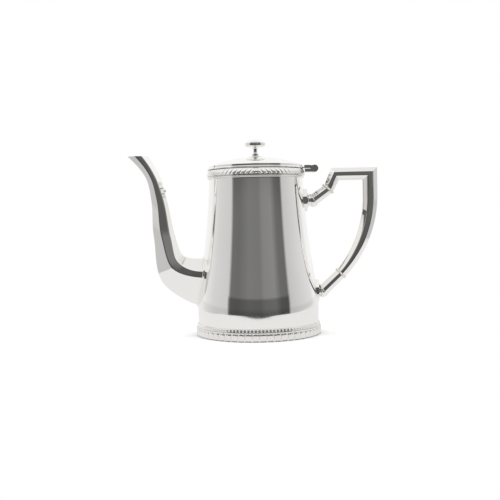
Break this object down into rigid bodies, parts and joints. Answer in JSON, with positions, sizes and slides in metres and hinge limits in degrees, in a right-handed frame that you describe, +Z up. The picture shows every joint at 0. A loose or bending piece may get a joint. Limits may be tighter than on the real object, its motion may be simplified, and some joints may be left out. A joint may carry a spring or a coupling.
{
  "type": "teapot",
  "caption": "Tall tapering silver-plated teapot with leaf borders at foot and rim, faceted swan-neck spout, angular insulated handle and hinged domed lid with a turned finial.",
  "frame": {"origin": "centre of the foot on the table, on the pot's axis", "axes": "+Z up, spout towards -X, handle and lid hinge towards +X"},
  "size_m": [0.23, 0.115, 0.178],
  "materials": {
    "silver_plate": "polished silver plate",
    "insulator_resin": "ivory-coloured resin, satin"
  },
  "bodies": {
    "pot": {"body_shell": "silver_plate", "bottom_plate": "silver_plate", "foot_border": "silver_plate", "rim_border": "silver_plate", "hinge_bracket": "silver_plate", "hinge_pin": "silver_plate", "spout_near_half": "silver_plate", "spout_far_half": "silver_plate", "spout_flange": "silver_plate", "spout_bead": "silver_plate", "strainer_grid": "silver_plate", "handle_near_half": "silver_plate", "handle_far_half": "silver_plate", "upper_socket": "silver_plate", "lower_socket": "silver_plate", "upper_insulator": "insulator_resin", "lower_insulator": "insulator_resin", "handle_pins": "silver_plate"},
    "lid": {"lid_cover": "silver_plate", "lid_bezel": "silver_plate", "finial_rosette": "silver_plate", "finial_knob": "silver_plate", "finial_washer": "silver_plate", "finial_nut": "silver_plate", "hinge_leaf": "silver_plate"}
  },
  "joints": [
    {"name": "lid_hinge", "type": "hinge", "parent": "pot", "child": "lid", "pos_m": [0.0536, 0, 0.1501], "axis": [0, 1, 0], "range_deg": [0, 105]}
  ]
}
